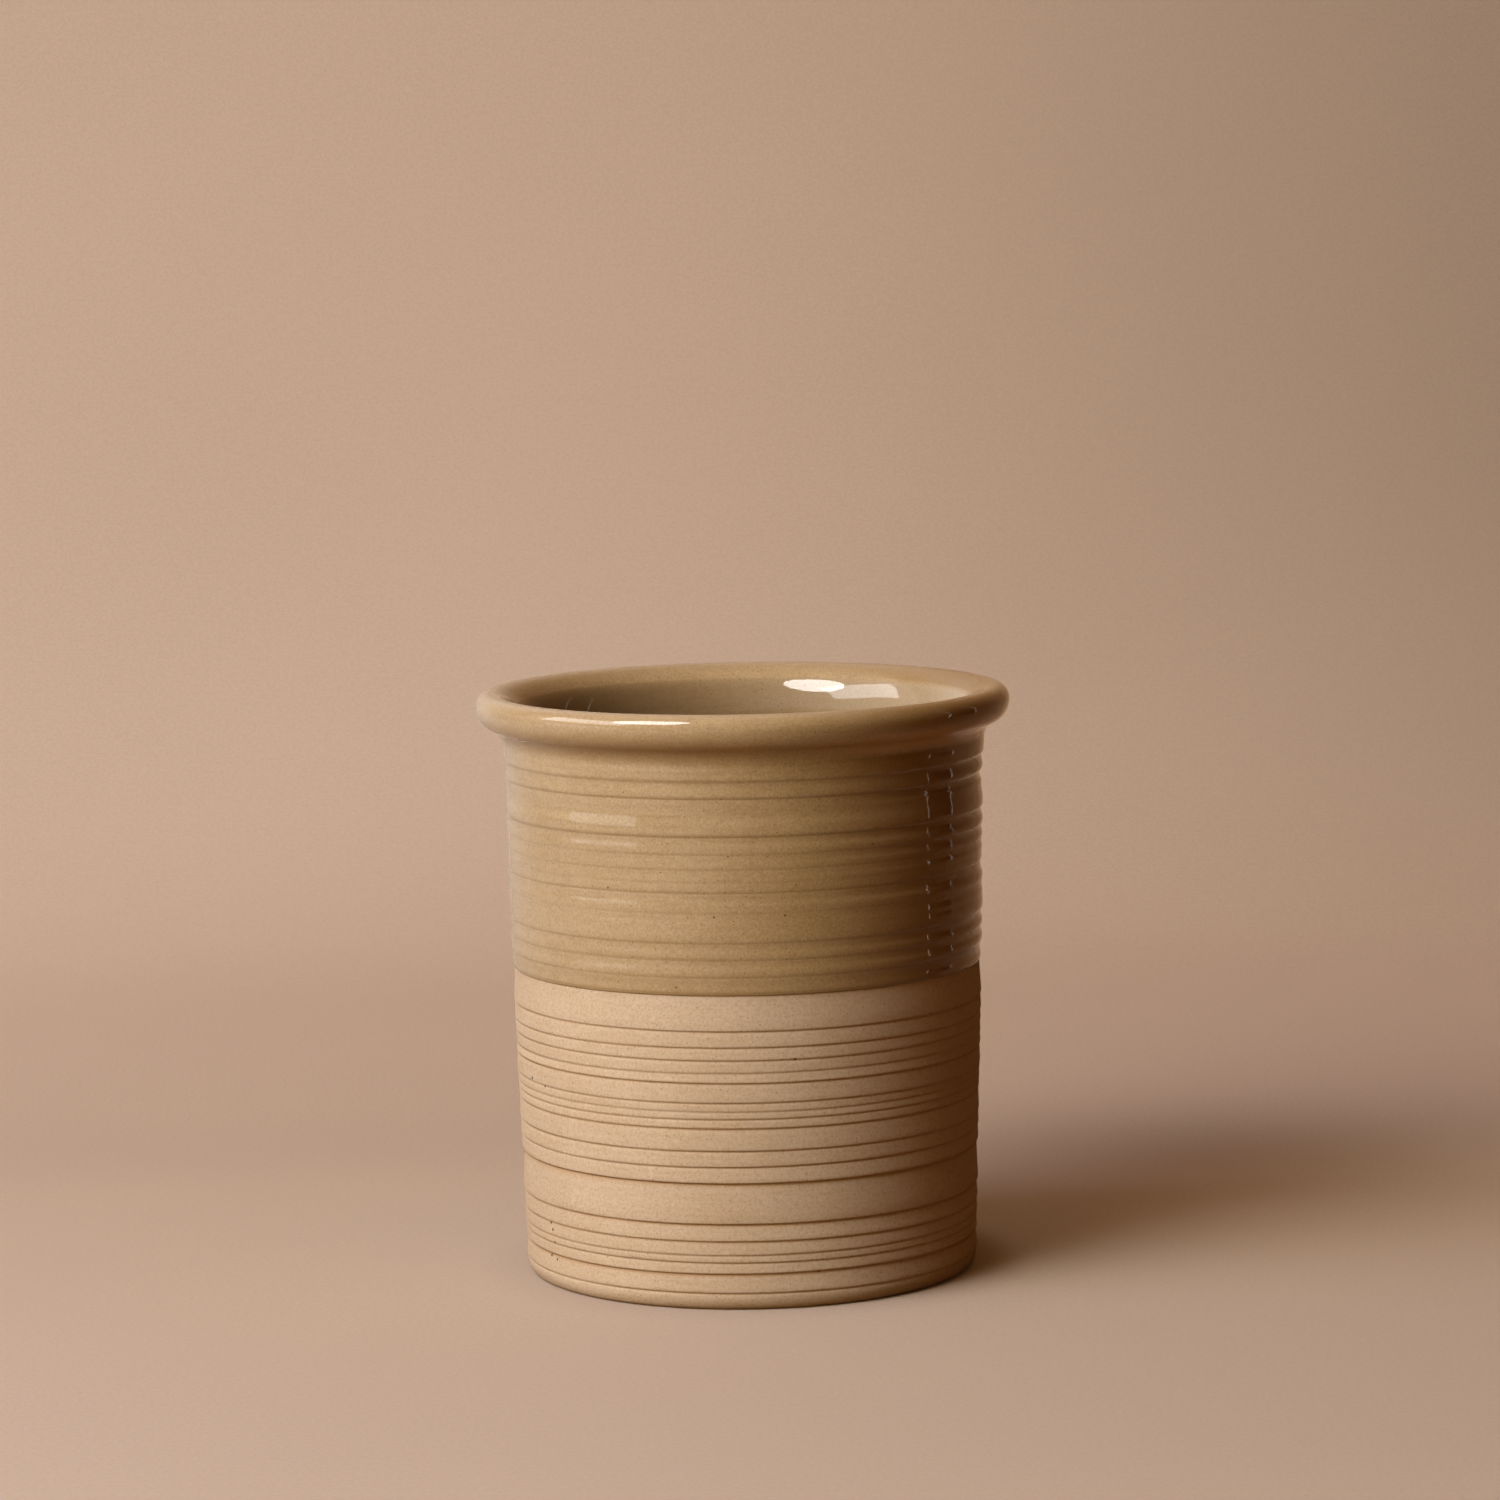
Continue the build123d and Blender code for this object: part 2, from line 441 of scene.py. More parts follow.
# The glazed wall's rows: the gap between them, the least gap, and the closer rows about a nick
ROW_GAP = 0.45
LEAST_GAP = 0.08
NICK_ROWS = (-0.5, -0.25, 0.0, 0.25, 0.5)
EDGE_ANGLES = (0.35, 0.75, 1.15, QUARTER_TURN)  # rows round the coat's lower edge


def coat_levels():
    """Heights of the glazed wall's rows, from the neck down."""
    plain = np.arange(NECK_LEVEL - ROW_GAP, GLAZE_LINE + COAT, -ROW_GAP)
    close = [level + step for level, _ in GLAZED_NICKS for step in NICK_ROWS]
    levels = np.unique(np.concatenate([plain, close, [GLAZE_LINE + COAT]]))
    return levels[np.append(np.diff(levels) > LEAST_GAP, True)][::-1]


def away_from_mean(inset, reach):
    """How much further in each row lies than the rows about it."""
    return inset - np.array([inset[max(0, i - reach) : i + reach + 1].mean(0) for i in range(len(inset))])


# Where the glaze has pooled: the rows that each is set against, the depth below them that counts in full,
# the most that a ring gets, and what a nick's depth gives
POOL_REACH = 14
POOL_DEPTH = 0.55
POOL_MOST = 0.5
NICK_POOL = 8.0
EDGE_FALL = (GLAZE_LINE + 0.5, GLAZE_LINE + 1.7)  # the thick lower edge
CREASE_LEVEL, CREASE_REACH = 150.6, 1.1  # the line below the rolled rim where glaze has gathered, with painted shade in it
# how deep the crease's painted shade is on the lit side and on the far side
CREASE_LIT, CREASE_FAR = 0.10, 1.00
# Where it is paler: on the crest, where the glaze breaks thin, with painted sheen there, and on the bore's
# side that faces the light, as painted light
CREST_RISE = (HEIGHT - 1.6, HEIGHT - 0.2)
CREST_THIN_AND_SHEEN = 0.5
LIT_BORE_RISE = (14, 40)
LIT_BORE_PAINTED_LIGHT = 0.62
# Painted light and shade that change round the pot: shade in the bore, deepest on its dark side, shade on
# the far side, and warm bounce light in the hollow under the rim, which ends a few rows below the neck
BORE_SHADE = 1.9  # the turn from the bore's dark side to the front, in radians
BORE_SHADE_MEAN, BORE_SHADE_SWING = 0.55, 0.45
BORE_SHADE_FALL = (HEIGHT - 7, HEIGHT - 1)
FAR_RISE, FAR_FALL = (5, 55), (100, 170)  # in degrees
FAR_SHADE = 0.68
HOLLOW_RISE, HOLLOW_FALL = (NECK_LEVEL - 1, NECK_LEVEL + 3), (156, 160)
HOLLOW_ROWS = 9
BOUNCE_RISE = (150, 154)
BOUNCE_LIT, BOUNCE_FAR = 0.14, 0.70


def coat_marks(level, inset, nick, start):
    """Values that colour the glaze at each point, painted light and shade among them. start is the first
    row of the outside wall.
    """
    rows = np.arange(len(level))[:, None]
    inside = rows < BORE_MARKS_END
    outside = (rows >= RIM_START) & (rows < start + HOLLOW_ROWS)
    far = band(FAR_RISE, FAR_FALL, azimuth_degrees)
    turned = np.cos(azimuths + BORE_SHADE)
    pool_and_painted_light = np.zeros_like(level)
    rings = np.clip(away_from_mean(inset, POOL_REACH) / POOL_DEPTH, -POOL_MOST, POOL_MOST)
    pool_and_painted_light[start : start + len(inset)] = rings + nick[:, None] * NICK_POOL
    edge = 1 - smooth(*EDGE_FALL, level)
    pool_and_painted_light = np.where(rows >= start, np.maximum(pool_and_painted_light, edge), pool_and_painted_light)
    # the glaze breaks thin over the crest, with painted sheen there, and the bore's lit side is painted
    # light
    crest = smooth(*CREST_RISE, level) * (rows < start)
    lit_bore = smooth(*LIT_BORE_RISE, level) * inside * (0.5 - 0.5 * turned)
    pool_and_painted_light = pool_and_painted_light - np.maximum(CREST_THIN_AND_SHEEN * crest, LIT_BORE_PAINTED_LIGHT * lit_bore)
    # painted shade in the crease under the rim, deepest on the side away from the lights
    crease = np.exp(-(((level - CREASE_LEVEL) / CREASE_REACH) ** 2)) * outside
    pool_and_painted_light = pool_and_painted_light + crease * (CREASE_LIT + (CREASE_FAR - CREASE_LIT) * far)
    hollow = band(HOLLOW_RISE, HOLLOW_FALL, level) * outside
    # painted shade in the bore, deepest on its side away from the light
    painted_bore_shade = (1 - smooth(*BORE_SHADE_FALL, level)) * inside * (BORE_SHADE_MEAN + BORE_SHADE_SWING * turned)
    # painted shade on the outside's far side, away from the lights
    painted_far_shade = (rows > BORE_MARKS_END) * FAR_SHADE * far * (1 - hollow)
    # painted warm bounce light in the hollow under the rim, strongest on the far side
    painted_bounce = hollow * smooth(*BOUNCE_RISE, level) * (BOUNCE_LIT + (BOUNCE_FAR - BOUNCE_LIT) * far)
    return {"pool_and_painted_light": np.clip(pool_and_painted_light, -1, 1), "painted_bore_shade": painted_bore_shade, "painted_far_shade": painted_far_shade, "painted_bounce": painted_bounce}


def make_coat():
    """The glaze: over the inside and the rim, down to its edge, and back along the clay."""
    radius, level = throwing_marks(*even(inside_and_rim(0.0, FINE)))
    start = len(radius)
    levels = coat_levels()
    wall_radius, wall_level, inset = glazed_wall(steps=40).surface(0.0, levels)
    nick = sum(nick_shape(levels, nick_level) * depth for nick_level, depth in GLAZED_NICKS)
    edge_radius = np.array([wall_radius[-1] - COAT * (1 - math.cos(a)) for a in EDGE_ANGLES])
    edge_level = np.array([wall_level[-1] - COAT * math.sin(a) for a in EDGE_ANGLES])
    under_radius, under_level, _ = glazed_wall(steps=1).surface(COAT)
    back_radius, back_level = even(inside_and_rim(COAT, 0)[::-1])
    radius = np.concatenate([radius, wall_radius, edge_radius, under_radius[::-1], back_radius])
    level = np.concatenate([level, wall_level, edge_level, under_level[::-1], back_level])
    return revolve("glaze_coat_surface", radius, level, coat_marks(level, inset, nick, start))


# Rows on the foot: its rounding, its ring, the recess's edge and the recess
ROUNDING_ROWS, RING_ROWS, EDGE_ROWS, RECESS_ROWS = 10, 8, 5, 30


def foot_profile(start, level):
    """The foot, from the end of the wall under the pot to the axis."""
    outer = start - FOOT_ROUNDING
    inner = FOOT_RADIUS - FOOT_ROUNDING - FOOT_RING_WIDTH
    flat = level / FOOT_ROUNDING
    rows = arc((outer, level), FOOT_ROUNDING, 0, -QUARTER_TURN, ROUNDING_ROWS, flat)
    rows += line((outer, 0), (inner, 0), RING_ROWS)
    rows += arc((inner, FOOT_RECESS), FOOT_RECESS, -QUARTER_TURN, -math.pi, EDGE_ROWS)
    return rows + line((inner - FOOT_RECESS, FOOT_RECESS), (0, FOOT_RECESS), RECESS_ROWS)


# Painted shade in the grooves: the rows that each is set against, the depth below them that counts in
# full, and where it ends below the glaze
GROOVE_REACH = 9
GROOVE_DEPTH = 0.25
GROOVE_END = (GLAZE_LINE - 7, GLAZE_LINE - 4)


def make_body():
    """The clay: its surface under the glaze, the bare wall, and the turned foot."""
    radius, level = even(inside_and_rim(COAT, 0))
    hidden_radius, hidden_level, _ = glazed_wall(steps=2).surface(COAT)
    wall_radius, wall_level, inset = bare_wall().surface(0.0)
    line_radius = hidden_radius[-1:]
    line_level = np.full_like(line_radius, GLAZE_LINE)
    foot_radius, foot_level = even(foot_profile(wall_radius[-1].mean(), wall_level[-1].mean()))
    flat = band(FOOT_RISE, FOOT_FALL, foot_radius)
    foot_level = foot_level + FOOT_SPIRAL * np.sin(spiral(foot_radius, FOOT_PITCH)) * flat
    below = 1 - smooth(*GROOVE_END, wall_level)
    # painted shade, darker where a row lies further in than the rows about it
    painted_groove_shade = np.clip(away_from_mean(inset, GROOVE_REACH) / GROOVE_DEPTH, -1, 1) * below
    before = np.zeros((len(radius) + len(hidden_radius), COLUMNS))
    painted_groove_shade = np.concatenate([before, painted_groove_shade, np.zeros((1 + len(foot_radius), COLUMNS))])
    radius = np.concatenate([radius, hidden_radius, line_radius, wall_radius, foot_radius])
    level = np.concatenate([level, hidden_level, line_level, wall_level, foot_level])
    return revolve("clay_body_surface", radius, level, {"painted_groove_shade": painted_groove_shade})


MIX_SHARE, MIX_FIRST, MIX_SECOND, MIX_RESULT = 0, 6, 7, 2  # a Mix node's sockets for colours
LEAST_SPECK = 0.35  # the smallest speck, set against how much they grow
SPECK_EDGE = 2.2  # how sharply a speck ends
SPOT_CORE, SPOT_RIM = 0.45, 1.25  # where a spot is full and where it ends, set against its radius


class Nodes:
    """A node tree, built up a node at a time."""

    def __init__(self, tree, coordinates="Object"):
        self.tree = tree
        self.place = self.add("ShaderNodeTexCoord").outputs[coordinates]

    def add(self, kind, **settings):
        node = self.tree.nodes.new(kind)
        for key, value in settings.items():
            setattr(node, key, value)
        return node

    def feed(self, socket, value):
        """Links an output to the socket, or sets a value on it."""
        if isinstance(value, bpy.types.NodeSocket):
            self.tree.links.new(value, socket)
        else:
            socket.default_value = value

    def math(self, operation, first, second=0.0, clamp=False):
        node = self.add("ShaderNodeMath", operation=operation, use_clamp=clamp)
        self.feed(node.inputs[0], first)
        self.feed(node.inputs[1], second)
        return node.outputs[0]

    def ramp(self, value, low, high, out_low=0.0, out_high=1.0):
        """Goes smoothly from one value to another as the given one goes from low to high."""
        node = self.add("ShaderNodeMapRange", interpolation_type="SMOOTHSTEP")
        for socket, given in zip(node.inputs[:5], (value, low, high, out_low, out_high)):
            self.feed(socket, given)
        return node.outputs[0]

    def line(self, value, low, high):
        """Goes evenly from 0 to 1 as the value goes from low to high."""
        node = self.add("ShaderNodeMapRange")
        for socket, given in zip(node.inputs[:3], (value, low, high)):
            self.feed(socket, given)
        return node.outputs[0]

    def tones(self, value, stops):
        """Colours at their places from 0 to 1, smoothly joined."""
        node = self.add("ShaderNodeValToRGB")
        node.color_ramp.interpolation = "B_SPLINE"
        elements = node.color_ramp.elements
        for place, _ in stops[1:-1]:
            elements.new(place)
        for element, (place, colour) in zip(elements, stops):
            element.position = place
            element.color = colour
        self.feed(node.inputs[0], value)
        return node.outputs[0]

    def noise(self, scale, detail, roughness=0.55, stretch=(1, 1, 1)):
        """Noise of this scale to a metre. stretch packs it closer along an axis."""
        where = self.place
        if stretch != (1, 1, 1):
            mapping = self.add("ShaderNodeMapping")
            self.feed(mapping.inputs["Vector"], where)
            mapping.inputs["Scale"].default_value = stretch
            where = mapping.outputs[0]
        node = self.add("ShaderNodeTexNoise")
        self.feed(node.inputs["Vector"], where)
        node.inputs["Scale"].default_value = scale
        node.inputs["Detail"].default_value = detail
        node.inputs["Roughness"].default_value = roughness
        return node.outputs["Fac"]

    def cells(self, scale):
        """Distance from scattered points, and two random values for each of them."""
        node = self.add("ShaderNodeTexVoronoi")
        self.feed(node.inputs["Vector"], self.place)
        node.inputs["Scale"].default_value = scale
        apart = self.add("ShaderNodeSeparateColor")
        self.feed(apart.inputs[0], node.outputs["Color"])
        return node.outputs["Distance"], apart.outputs[0], apart.outputs[1]

    def specks(self, scale, share, size):
        """Spots at this share of the scattered points, each of its own size."""
        distance, chosen, own = self.cells(scale)
        picked = self.math("LESS_THAN", chosen, share)
        reach = self.math("MULTIPLY_ADD", own, size)
        reach.node.inputs[2].default_value = LEAST_SPECK * size
        inside = self.math("SUBTRACT", 1.0, self.math("DIVIDE", distance, reach), clamp=True)
        return self.math("MULTIPLY", self.math("MULTIPLY", inside, SPECK_EDGE, clamp=True), picked)

    def apart(self):
        """The place's X, Y and Z."""
        node = self.add("ShaderNodeSeparateXYZ")
        self.feed(node.inputs[0], self.place)
        return node.outputs

    def spots(self, places):
        """Spots on the wall. Each is an azimuth in degrees, a height and a radius in millimetres."""
        x, y, z = self.apart()
        turn = self.math("ARCTAN2", x, self.math("MULTIPLY", y, -1.0))
        unrolled = self.add("ShaderNodeCombineXYZ")
        self.feed(unrolled.inputs["X"], self.math("MULTIPLY", turn, FOOT_RADIUS * MM))
        self.feed(unrolled.inputs["Z"], z)
        total = None
        for azimuth, level, size in places:
            away = self.add("ShaderNodeVectorMath", operation="DISTANCE")
            self.feed(away.inputs[0], unrolled.outputs[0])
            away.inputs[1].default_value = (math.radians(azimuth) * FOOT_RADIUS * MM, 0, level * MM)
            core, rim = SPOT_CORE * size * MM, SPOT_RIM * size * MM
            spot = self.ramp(away.outputs["Value"], core, rim, 1.0, 0.0)
            total = spot if total is None else self.math("MAXIMUM", total, spot)
        return total

    def mix(self, share, first, second):
        """The first colour, and this share of the second."""
        node = self.add("ShaderNodeMix", data_type="RGBA")
        self.feed(node.inputs[MIX_SHARE], share)
        self.feed(node.inputs[MIX_FIRST], first)
        self.feed(node.inputs[MIX_SECOND], second)
        return node.outputs[MIX_RESULT]

    def tint(self, value, low, high, share, colour, tint):
        """Mixes a tint in, up to this share, as the value goes from low to high."""
        return self.mix(self.ramp(value, low, high, 0.0, share), colour, tint)

    def spatter(self, share, spots, colour, tint):
        """Colours spots, with this share of the tint."""
        return self.mix(self.math("MULTIPLY", spots, share), colour, tint)

    def bump(self, height, distance, strength, normal=None):
        """Raises the surface by the height, where 1 is this many metres."""
        node = self.add("ShaderNodeBump")
        node.inputs["Distance"].default_value = distance
        node.inputs["Strength"].default_value = strength
        self.feed(node.inputs["Height"], height)
        if normal is not None:
            self.feed(node.inputs["Normal"], normal)
        return node.outputs[0]

    def attribute(self, name):
        return self.add("ShaderNodeAttribute", attribute_name=name).outputs["Fac"]


class Material(Nodes):
    """A material that is placed by the object's own coordinates."""

    def __init__(self, name):
        self.material = bpy.data.materials.new(name)
        self.material.use_nodes = True
        self.material.node_tree.nodes.clear()
        super().__init__(self.material.node_tree)

    def finish(self, **sockets):
        shader = self.add("ShaderNodeBsdfPrincipled")
        for name, value in sockets.items():
            self.feed(shader.inputs[name.replace("_", " ")], value)
        self.tree.links.new(shader.outputs[0], self.add("ShaderNodeOutputMaterial").inputs[0])
        return self.material


# Spots that stand out: azimuth in degrees, height and radius
GLAZE_SPOTS = (
    (-29.0, 142.6, 0.24),
    (-34.0, 116.2, 0.36),
    (-7.5, 109.0, 0.34),
    (-20.0, 121.0, 0.22),
    (-4.0, 125.6, 0.26),
    (-17.0, 89.6, 0.30),
    (9.0, 109.2, 0.32),
    (31.0, 127.0, 0.24),
)
CLAY_PITS = (
    (-67.0, 58.6, 0.52),
    (-60.0, 57.6, 0.44),
    (-60.5, 18.9, 0.50),
    (-59.5, 17.0, 0.46),
    (-58.8, 13.5, 0.42),
    (-61.5, 9.3, 0.46),
    (-58.5, 8.7, 0.40),
    (11.0, 69.5, 0.34),
    (16.5, 10.2, 0.34),
)

# Colours are the scene's linear ones
GLAZE_TONES = ((0.420, 0.286, 0.142, 1), (0.462, 0.328, 0.174, 1))
GLAZE_MOTTLE = (0.350, 0.225, 0.102, 1)
GLAZE_PALE_GRAIN = (0.58, 0.43, 0.25, 1)
GLAZE_DARK_GRAIN = (0.27, 0.165, 0.070, 1)
GLAZE_DRAWN = (0.28, 0.175, 0.072, 1)
GLAZE_THIN_AND_LIT = (0.62, 0.53, 0.41, 1)
GLAZE_PAINTED_FAR_SHADE = (0.270, 0.135, 0.030, 1)
GLAZE_PAINTED_BOUNCE = (0.700, 0.410, 0.130, 1)
GLAZE_POOLED_AND_SHADED = (0.25, 0.138, 0.042, 1)
GLAZE_PAINTED_BORE_SHADE = (0.16, 0.100, 0.045, 1)
GLAZE_SPECK = (0.16, 0.085, 0.030, 1)
GLAZE_IRON = (0.075, 0.035, 0.012, 1)


def glaze_material():
    """A glossy glaze, darker and warmer where it is thick, with iron specks in it, and with painted light
    and shade: in the bore, on the crest, under the rim and on the far side.
    """
    n = Material("olive_tan_glaze")
    pool_and_painted_light = n.attribute("pool_and_painted_light")
    cloud = n.noise(26, 4.0, 0.6)
    mottle = n.noise(330, 4.0, 0.65)
    grain = n.noise(1500, 3.0, 0.7)
    drawn = n.noise(80, 5.0, 0.65, (1, 1, 10))
    fine = n.specks(1050, 0.42, 0.20)
    dark = n.math("MAXIMUM", n.specks(230, 0.22, 0.045), n.spots(GLAZE_SPOTS))
    colour = n.mix(n.ramp(cloud, 0.3, 0.7), *GLAZE_TONES)
    colour = n.tint(mottle, 0.35, 0.65, 0.28, colour, GLAZE_MOTTLE)
    colour = n.tint(grain, 0.45, 0.66, 0.40, colour, GLAZE_PALE_GRAIN)
    colour = n.tint(grain, 0.48, 0.30, 0.38, colour, GLAZE_DARK_GRAIN)
    colour = n.tint(drawn, 0.50, 0.72, 0.22, colour, GLAZE_DRAWN)
    # paler where the glaze is thin, with painted sheen on the crest and painted light on the bore's lit
    # side
    colour = n.tint(pool_and_painted_light, 0.0, -1.0, 0.55, colour, GLAZE_THIN_AND_LIT)
    # painted shade on the far side
    colour = n.mix(n.attribute("painted_far_shade"), colour, GLAZE_PAINTED_FAR_SHADE)
    # painted warm bounce light under the rim
    colour = n.mix(n.attribute("painted_bounce"), colour, GLAZE_PAINTED_BOUNCE)
    # darker where the glaze has pooled, with painted shade in the crease under the rim
    colour = n.tint(pool_and_painted_light, 0.1, 1.0, 0.58, colour, GLAZE_POOLED_AND_SHADED)
    # painted shade in the bore
    colour = n.spatter(0.80, n.attribute("painted_bore_shade"), colour, GLAZE_PAINTED_BORE_SHADE)
    colour = n.spatter(0.72, fine, colour, GLAZE_SPECK)
    colour = n.spatter(0.85, dark, colour, GLAZE_IRON)
    rough = n.ramp(mottle, 0.3, 0.7, 0.02, 0.055)
    rough = n.math("ADD", rough, n.math("MULTIPLY", n.math("MAXIMUM", dark, fine), 0.15))
    normal = n.bump(n.noise(150, 2.0, 0.5), 0.00010, 0.32)
    normal = n.bump(n.noise(700, 2.0, 0.5), 0.00002, 0.5, normal)
    normal = n.bump(n.math("SUBTRACT", 1.0, dark), 0.00005, 0.6, normal)
    return n.finish(Base_Color=colour, Roughness=rough, IOR=1.52, Normal=normal)


CLAY_TONES = ((0.605, 0.468, 0.338, 1), (0.655, 0.525, 0.395, 1))
CLAY_DRAWN = (0.55, 0.375, 0.225, 1)
CLAY_SAND = (0.46, 0.305, 0.175, 1)
CLAY_PALE = (0.80, 0.64, 0.47, 1)
CLAY_GROOVE_SHADE = (0.41, 0.225, 0.090, 1)
CLAY_SPECK = (0.27, 0.15, 0.07, 1)
CLAY_IRON = (0.13, 0.065, 0.03, 1)
CLAY_PIT = (0.09, 0.045, 0.02, 1)


def clay_material():
    """Bare sandy clay, drawn along the wheel's turn, with painted shade in its grooves."""
    n = Material("bare_buff_clay")
    cloud = n.noise(22, 4.0, 0.6)
    sand = n.noise(1300, 3.0, 0.7)
    coarse = n.noise(520, 3.0, 0.7)
    drawn = n.noise(60, 5.0, 0.65, (1, 1, 14))
    iron = n.specks(220, 0.20, 0.045)
    pits = n.spots(CLAY_PITS)
    colour = n.mix(n.ramp(cloud, 0.3, 0.7), *CLAY_TONES)
    colour = n.tint(drawn, 0.42, 0.7, 0.30, colour, CLAY_DRAWN)
    colour = n.tint(sand, 0.44, 0.66, 0.46, colour, CLAY_SAND)
    colour = n.tint(coarse, 0.55, 0.75, 0.40, colour, CLAY_PALE)
    # painted shade in the grooves
    colour = n.tint(n.attribute("painted_groove_shade"), 0.05, 1.0, 0.56, colour, CLAY_GROOVE_SHADE)
    colour = n.spatter(0.50, n.specks(1000, 0.34, 0.24), colour, CLAY_SPECK)
    colour = n.spatter(0.70, iron, colour, CLAY_IRON)
    colour = n.spatter(0.92, pits, colour, CLAY_PIT)
    rough = n.ramp(coarse, 0.3, 0.7, 0.72, 0.90)
    normal = n.bump(sand, 0.00009, 0.7)
    normal = n.bump(coarse, 0.00012, 0.6, normal)
    normal = n.bump(drawn, 0.00012, 0.5, normal)
    normal = n.bump(n.math("SUBTRACT", 1.0, n.math("MAXIMUM", pits, iron)), 0.00035, 0.8, normal)
    return n.finish(Base_Color=colour, Roughness=rough, IOR=1.45, Specular_IOR_Level=0.15, Normal=normal)


coat = make_coat()
coat.data.materials.append(glaze_material())
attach(coat, "root")
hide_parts("glaze_coat")

body = make_body()
body.data.materials.append(clay_material())
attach(body, "root")
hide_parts("clay_body")

# The studio: a seamless paper sweep, lit from the front left by soft lights and warm weak ones.
# Its sizes are in metres.
PAPER_TONES = (  # the paper's colour by its distance behind the crock, painted light and shade grading it front to back
    (-0.16, (0.528, 0.426, 0.352, 1)),
    (0.09, (0.554, 0.443, 0.351, 1)),
    (0.25, (0.650, 0.510, 0.400, 1)),
    (0.46, (0.797, 0.632, 0.502, 1)),
    (0.60, (0.872, 0.706, 0.567, 1)),
    (0.80, (0.902, 0.750, 0.621, 1)),
    (1.00, (0.832, 0.679, 0.552, 1)),
    (1.20, (0.827, 0.682, 0.566, 1)),
)
PAPER_BOUNCE = (0.165, 0.074, 0.019, 1)  # what the paper throws back on the crock
PAPER_LIFT = (0.048, 0.032, 0.021, 1)  # painted light, a glow only the camera sees, for the light that the air and the room put into the shadow
# Painted reflection, the paper as it stands in the glaze: to the left, its glow there, to the right, and
# behind on the right
MIRRORED_LEFT = (1.0, 0.90, 0.76, 1)
MIRRORED_GLOW = (0.20, 0.27, 0.34, 1)
MIRRORED_RIGHT = (0.05, 0.025, 0.008, 1)
MIRRORED_BEHIND = (0.74, 0.50, 0.28, 1)
BLACK = (0, 0, 0, 1)
# Where each changes: across the paper, from left to right, and back, away from the camera
SHADE = 0.29  # how much darker the paper is on the right, far behind
SHADE_ACROSS, SHADE_BACK = (-0.12, 0.55), (0.3, 1.0)
MIRROR_ACROSS, MIRROR_BACK = (-0.55, 0.55), (-0.15, 0.48)
GLOW_ACROSS = (-0.7, 0.0)
LIFT_BACK = (0.10, 0.19)
LIFT_ROUND = (0.066, 0.082)  # measured from the crock's axis: the shadow stays deep at the foot
LIFT_LEAST = 0.10
PAPER_SIDE = 3.2
PAPER_FRONT = -3.0
CURVE_START = 0.5
CURVE_RADIUS = 0.8
CURVE_STEPS = 24
PAPER_TOP = 3.0


def paper_material():
    """Warm paper, as the camera sees it with painted light and shade, as a painted reflection in the
    glaze, and as it lights the crock.
    """
    n = Material("warm_paper")
    x, y, _ = n.apart()
    rays = n.add("ShaderNodeLightPath").outputs
    near, far = PAPER_TONES[0][0], PAPER_TONES[-1][0]
    stops = [((place - near) / (far - near), colour) for place, colour in PAPER_TONES]
    # painted light and shade that grade the paper from front to back
    tone = n.tones(n.line(y, near, far), stops)
    tone = n.tint(n.noise(3, 3.0), 0.3, 0.7, 0.03, tone, BLACK)
    tone = n.tint(n.noise(700, 3.0, 0.7), 0.35, 0.65, 0.07, tone, BLACK)
    shade = n.math("MULTIPLY", n.ramp(x, *SHADE_ACROSS), n.ramp(y, *SHADE_BACK))
    tone = n.mix(n.math("MULTIPLY", shade, SHADE), tone, BLACK)
    tone = n.mix(rays["Is Diffuse Ray"], tone, PAPER_BOUNCE)
    # painted reflection: the paper's colours for glossy rays
    right = n.mix(n.ramp(y, *MIRROR_BACK), MIRRORED_RIGHT, MIRRORED_BEHIND)
    mirrored = n.mix(n.ramp(x, *MIRROR_ACROSS), MIRRORED_LEFT, right)
    tone = n.mix(rays["Is Glossy Ray"], tone, mirrored)
    # painted light that lifts the crock's shadow, seen only by the camera
    away = n.add("ShaderNodeVectorMath", operation="LENGTH")
    n.feed(away.inputs[0], n.place)
    clear = n.ramp(away.outputs["Value"], *LIFT_ROUND, LIFT_LEAST, 1.0)
    lift = n.math("MULTIPLY", clear, n.ramp(y, *LIFT_BACK, 1.0, LIFT_LEAST))
    lift = n.mix(lift, BLACK, PAPER_LIFT)
    # painted reflection: a glow on the left that only the glaze sees
    glow = n.mix(n.ramp(x, *GLOW_ACROSS), MIRRORED_GLOW, BLACK)
    glow = n.mix(rays["Is Glossy Ray"], lift, glow)
    shown = n.math("MAXIMUM", rays["Is Camera Ray"], rays["Is Glossy Ray"])
    return n.finish(Base_Color=tone, Roughness=0.9, IOR=1.3, Emission_Color=glow, Emission_Strength=shown)


def stage_piece(name, points, faces, material):
    """A piece of the studio, which is no part of the object."""
    mesh = bpy.data.meshes.new(name)
    mesh.from_pydata(points, [], faces)
    mesh.materials.append(material)
    made = bpy.data.objects.new(name, mesh)
    bpy.context.scene.collection.objects.link(made)
    return made


def sweep():
    """Paper that lies flat, turns up in a wide curve and stands behind."""
    profile = [(PAPER_FRONT, 0.0), (CURVE_START, 0.0)]
    profile += arc((CURVE_START, CURVE_RADIUS), CURVE_RADIUS, -QUARTER_TURN, 0, CURVE_STEPS)
    profile.append((CURVE_START + CURVE_RADIUS, PAPER_TOP))
    points = [(side * PAPER_SIDE, y, z) for y, z in profile for side in (-1, 1)]
    faces = [(2 * i, 2 * i + 1, 2 * i + 3, 2 * i + 2) for i in range(len(profile) - 1)]
    made = stage_piece("paper_sweep", points, faces, paper_material())
    made.data.polygons.foreach_set("use_smooth", np.ones(len(faces), bool))


